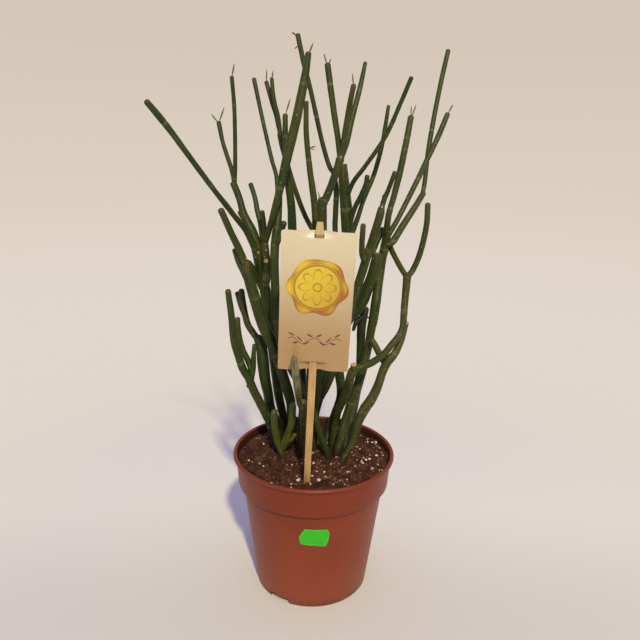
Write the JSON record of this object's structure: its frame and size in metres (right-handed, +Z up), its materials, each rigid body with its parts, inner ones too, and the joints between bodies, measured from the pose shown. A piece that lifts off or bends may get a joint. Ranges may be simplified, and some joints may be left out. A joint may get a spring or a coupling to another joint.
{
  "type": "potted euphorbia",
  "caption": "Young succulent with upright round green stems that fork into slim twigs, in a brown nursery pot with soil, a price label and a printed card on a wooden stick.",
  "frame": {"origin": "on the pot's axis at the level of the surface it stands on, below the middle of the whole plant", "axes": "+Z up along the plant's height; the card faces -Y, towards the viewer; +X to the viewer's right"},
  "size_m": [0.2137, 0.1468, 0.4332],
  "materials": {
    "pot_plastic": "satin",
    "potting_soil": "matte",
    "tag_wood": "matte",
    "card": "gloss",
    "sticker": "satin",
    "green_stem": "satin",
    "olive_stem": "satin"
  },
  "bodies": {
    "root": {"pot": "pot_plastic", "soil": "potting_soil", "tag_stick": "tag_wood", "care_card": "card", "price_sticker": "sticker", "stem_twin_left": "green_stem", "stem_fork_left": "green_stem", "stem_olive": "olive_stem", "stem_whorl": "green_stem", "stem_by_card": "green_stem", "stem_slim": "green_stem", "stem_crossing": "green_stem", "stem_brown_tip": "olive_stem", "stem_y": "green_stem", "stem_thick_cut": "green_stem", "stem_straight": "green_stem", "stem_right_main": "green_stem", "stem_behind": "green_stem", "stem_elbow": "olive_stem", "stem_black_knee": "green_stem", "stem_right_fork": "olive_stem", "stem_front_sprout": "olive_stem", "stem_front_knot": "green_stem"}
  },
  "joints": []
}
